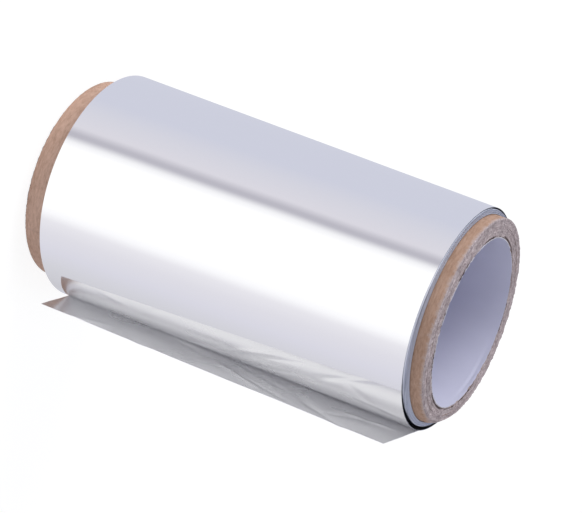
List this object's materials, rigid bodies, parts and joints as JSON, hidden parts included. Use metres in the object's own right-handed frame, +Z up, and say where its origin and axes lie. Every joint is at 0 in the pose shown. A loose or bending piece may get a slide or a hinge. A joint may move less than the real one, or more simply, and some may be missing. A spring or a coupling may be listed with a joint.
{
  "type": "aluminium foil roll",
  "caption": "Roll of bright aluminium foil wound on a thick kraft paper core lined with white paper, its last turn slack and its slanted tail hanging free.",
  "frame": {"origin": "centre of the core's lower end face, on the roll's axis", "axes": "+Z up along the roll's axis, from the end it stands on; the foil's free end leaves the roll at +X and points to -Y"},
  "size_m": [0.1082, 0.1066, 0.2015],
  "materials": {
    "kraft_board": "matt, fibrous",
    "white_paper": "matt",
    "foil": "bright rolled side out"
  },
  "bodies": {
    "root": {"kraft_core": "kraft_board", "core_liner": "white_paper", "foil_roll": "foil"}
  },
  "joints": []
}
